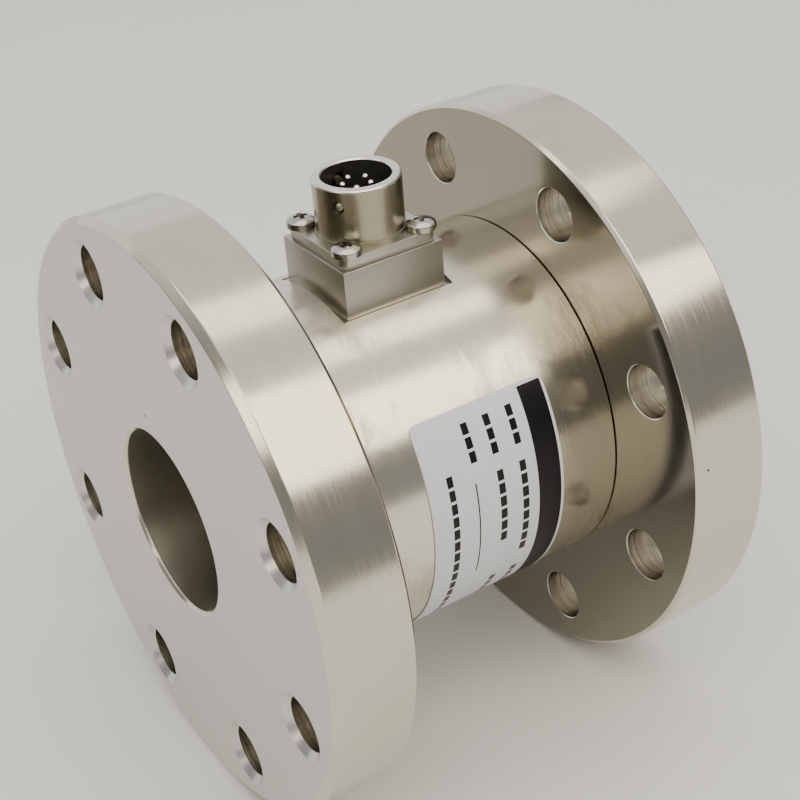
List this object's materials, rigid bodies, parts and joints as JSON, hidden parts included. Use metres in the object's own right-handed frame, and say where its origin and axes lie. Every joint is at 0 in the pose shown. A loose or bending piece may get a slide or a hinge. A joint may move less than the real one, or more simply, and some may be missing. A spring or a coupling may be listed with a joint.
{
  "type": "static torque sensor",
  "caption": "Flange-to-flange static torque sensor: one-piece hollow element in a plated sleeve, with a square block and round pin connector on its side.",
  "frame": {"origin": "on the sensor's axis, midway between the outer faces of its two flanges", "axes": "+X along the sensor's axis to the far flange, +Z from the axis towards the connector, +Y completes the right hand"},
  "size_m": [0.08, 0.1, 0.1],
  "materials": {
    "nickel_plated_steel": "nickel plated, turned",
    "plated_sleeve": "nickel plated, satin",
    "block_steel": "fine ground, satin",
    "shell_metal": "nickel plated brass",
    "screw_steel": "bright nickel plated",
    "contact_metal": "silver plated",
    "insert_plastic": "moulded, black",
    "gasket_rubber": "matt",
    "seal_rubber": "matt",
    "gauge_film": "polyimide film",
    "terminal_laminate": "glass laminate",
    "wire_jacket": "insulated wire",
    "label_film": "satin white with a black band"
  },
  "bodies": {
    "root": {"sensing_element": "nickel_plated_steel", "protective_sleeve": "plated_sleeve", "gap_seal_ring": "seal_rubber", "connector_block": "block_steel", "connector_gasket": "gasket_rubber", "connector_shell": "shell_metal", "connector_insert": "insert_plastic", "insert_retaining_ring": "shell_metal", "terminal_ring": "terminal_laminate", "label": "label_film", "key_pin_1": "shell_metal", "key_pin_2": "shell_metal", "key_pin_3": "shell_metal", "contact_pin_1": "contact_metal", "contact_pin_2": "contact_metal", "contact_pin_3": "contact_metal", "contact_pin_4": "contact_metal", "contact_pin_5": "contact_metal", "flange_screw_1": "screw_steel", "flange_screw_2": "screw_steel", "flange_screw_3": "screw_steel", "flange_screw_4": "screw_steel", "strain_gauge_1": "gauge_film", "strain_gauge_2": "gauge_film", "strain_gauge_3": "gauge_film", "strain_gauge_4": "gauge_film", "gauge_wires_1": "wire_jacket", "gauge_wires_2": "wire_jacket", "gauge_wires_3": "wire_jacket", "gauge_wires_4": "wire_jacket", "lead_wire_1": "wire_jacket", "lead_wire_2": "wire_jacket", "lead_wire_3": "wire_jacket", "lead_wire_4": "wire_jacket", "lead_wire_5": "wire_jacket"}
  },
  "joints": []
}
